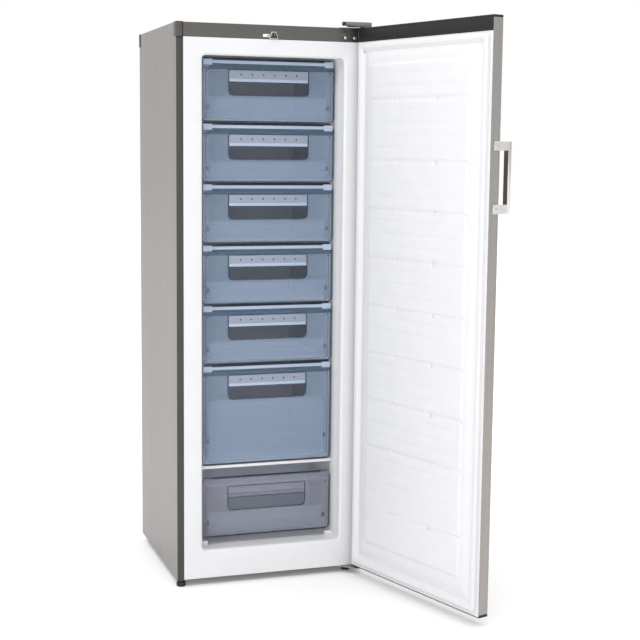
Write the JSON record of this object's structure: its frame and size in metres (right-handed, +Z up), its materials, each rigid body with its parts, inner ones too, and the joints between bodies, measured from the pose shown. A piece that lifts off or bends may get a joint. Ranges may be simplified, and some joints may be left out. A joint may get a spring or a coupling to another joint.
{
  "type": "upright freezer",
  "caption": "Tall upright freezer with a hinged steel door, tinted pull-out drawers on evaporator shelves and a turning thermostat; door shown open.",
  "frame": {"origin": "on the floor, below the middle of the whole assembly's box with the door open as stored", "axes": "+Z up, front of the cabinet faces -Y, +X towards the hinge side of the cabinet"},
  "size_m": [0.8056, 1.142, 1.7165],
  "materials": {
    "side_steel": "satin",
    "door_steel": "satin",
    "dark_trim": "satin",
    "black_plastic": "matte",
    "black_enamel": "satin",
    "white_liner": "satin",
    "gasket": "matte",
    "foam": "matte",
    "drawer_front": "gloss",
    "drawer_bin": "gloss",
    "evaporator": "satin",
    "zinc": "satin",
    "handle": "satin",
    "copper": "satin",
    "white_mark": "satin",
    "grey_knob": "satin"
  },
  "bodies": {
    "cabinet": {"left_side_panel": "side_steel", "right_side_panel": "side_steel", "top_panel": "dark_trim", "back_panel": "zinc", "base_panel": "zinc", "rear_top_trim": "black_plastic", "cabinet_liner": "white_liner", "cabinet_foam": "foam", "top_fascia": "dark_trim", "fascia_left_block": "dark_trim", "fascia_hinge_block": "dark_trim", "fascia_screw_left": "zinc", "fascia_screw_right": "zinc", "scale_plate": "white_mark", "thermostat_bezel": "white_mark", "top_hinge_bracket": "zinc", "top_hinge_cover": "dark_trim", "bottom_hinge_bracket": "zinc", "rear_left_foot": "black_plastic", "rear_right_foot": "black_plastic", "compressor_tray": "zinc", "compressor_mount": "zinc", "compressor": "black_enamel", "start_relay": "black_plastic", "discharge_pipe": "copper", "mains_gland": "black_plastic", "condenser_pipe": "copper", "evaporator_riser": "evaporator", "shelf_coil_1": "evaporator", "shelf_coil_2": "evaporator", "shelf_coil_3": "evaporator", "shelf_coil_4": "evaporator", "shelf_coil_5": "evaporator", "shelf_coil_6": "evaporator"},
    "door": {"door_panel": "door_steel", "door_top_cap": "dark_trim", "door_bottom_cap": "black_plastic", "door_liner": "white_liner", "door_foam": "foam", "door_gasket": "gasket", "handle_bar": "handle", "handle_post_lower": "handle", "handle_post_upper": "handle"},
    "thermostat_knob": {"thermostat_knob": "grey_knob"},
    "front_left_foot": {"front_left_foot": "black_plastic"},
    "front_right_foot": {"front_right_foot": "black_plastic"},
    "drawer_1": {"drawer_1_front": "drawer_front", "drawer_1_bin": "drawer_bin"},
    "drawer_2": {"drawer_2_front": "drawer_front", "drawer_2_bin": "drawer_bin"},
    "drawer_3": {"drawer_3_front": "drawer_front", "drawer_3_bin": "drawer_bin"},
    "drawer_4": {"drawer_4_front": "drawer_front", "drawer_4_bin": "drawer_bin"},
    "drawer_5": {"drawer_5_front": "drawer_front", "drawer_5_bin": "drawer_bin"},
    "drawer_6": {"drawer_6_front": "drawer_front", "drawer_6_bin": "drawer_bin"},
    "drawer_7": {"drawer_7_front": "drawer_front", "drawer_7_bin": "drawer_bin"}
  },
  "joints": [
    {"name": "door_swing", "type": "hinge", "parent": "cabinet", "child": "door", "pos_m": [0.17921, -0.00972, 0.85], "axis": [0, 0, 1], "range_deg": [-106.9, 23.1]},
    {"name": "thermostat_turn", "type": "hinge", "parent": "cabinet", "child": "thermostat_knob", "pos_m": [-0.10579, 0.02098, 1.668], "axis": [0, 1, 0], "range_deg": [-135, 135]},
    {"name": "front_left_foot_turn", "type": "hinge", "parent": "cabinet", "child": "front_left_foot", "pos_m": [-0.38679, 0.03698, 0.01], "axis": [0, 0, 1], "range_deg": [-720, 720]},
    {"name": "front_right_foot_turn", "type": "hinge", "parent": "cabinet", "child": "front_right_foot", "pos_m": [0.15321, 0.05098, 0.01], "axis": [0, 0, 1], "range_deg": [-720, 720]},
    {"name": "drawer_1_slide", "type": "slide", "parent": "cabinet", "child": "drawer_1", "axis": [0, -1, 0], "range_m": [0, 0.3]},
    {"name": "drawer_2_slide", "type": "slide", "parent": "cabinet", "child": "drawer_2", "axis": [0, -1, 0], "range_m": [0, 0.3]},
    {"name": "drawer_3_slide", "type": "slide", "parent": "cabinet", "child": "drawer_3", "axis": [0, -1, 0], "range_m": [0, 0.3]},
    {"name": "drawer_4_slide", "type": "slide", "parent": "cabinet", "child": "drawer_4", "axis": [0, -1, 0], "range_m": [0, 0.3]},
    {"name": "drawer_5_slide", "type": "slide", "parent": "cabinet", "child": "drawer_5", "axis": [0, -1, 0], "range_m": [0, 0.3]},
    {"name": "drawer_6_slide", "type": "slide", "parent": "cabinet", "child": "drawer_6", "axis": [0, -1, 0], "range_m": [0, 0.3]},
    {"name": "drawer_7_slide", "type": "slide", "parent": "cabinet", "child": "drawer_7", "axis": [0, -1, 0], "range_m": [0, 0.17]}
  ]
}
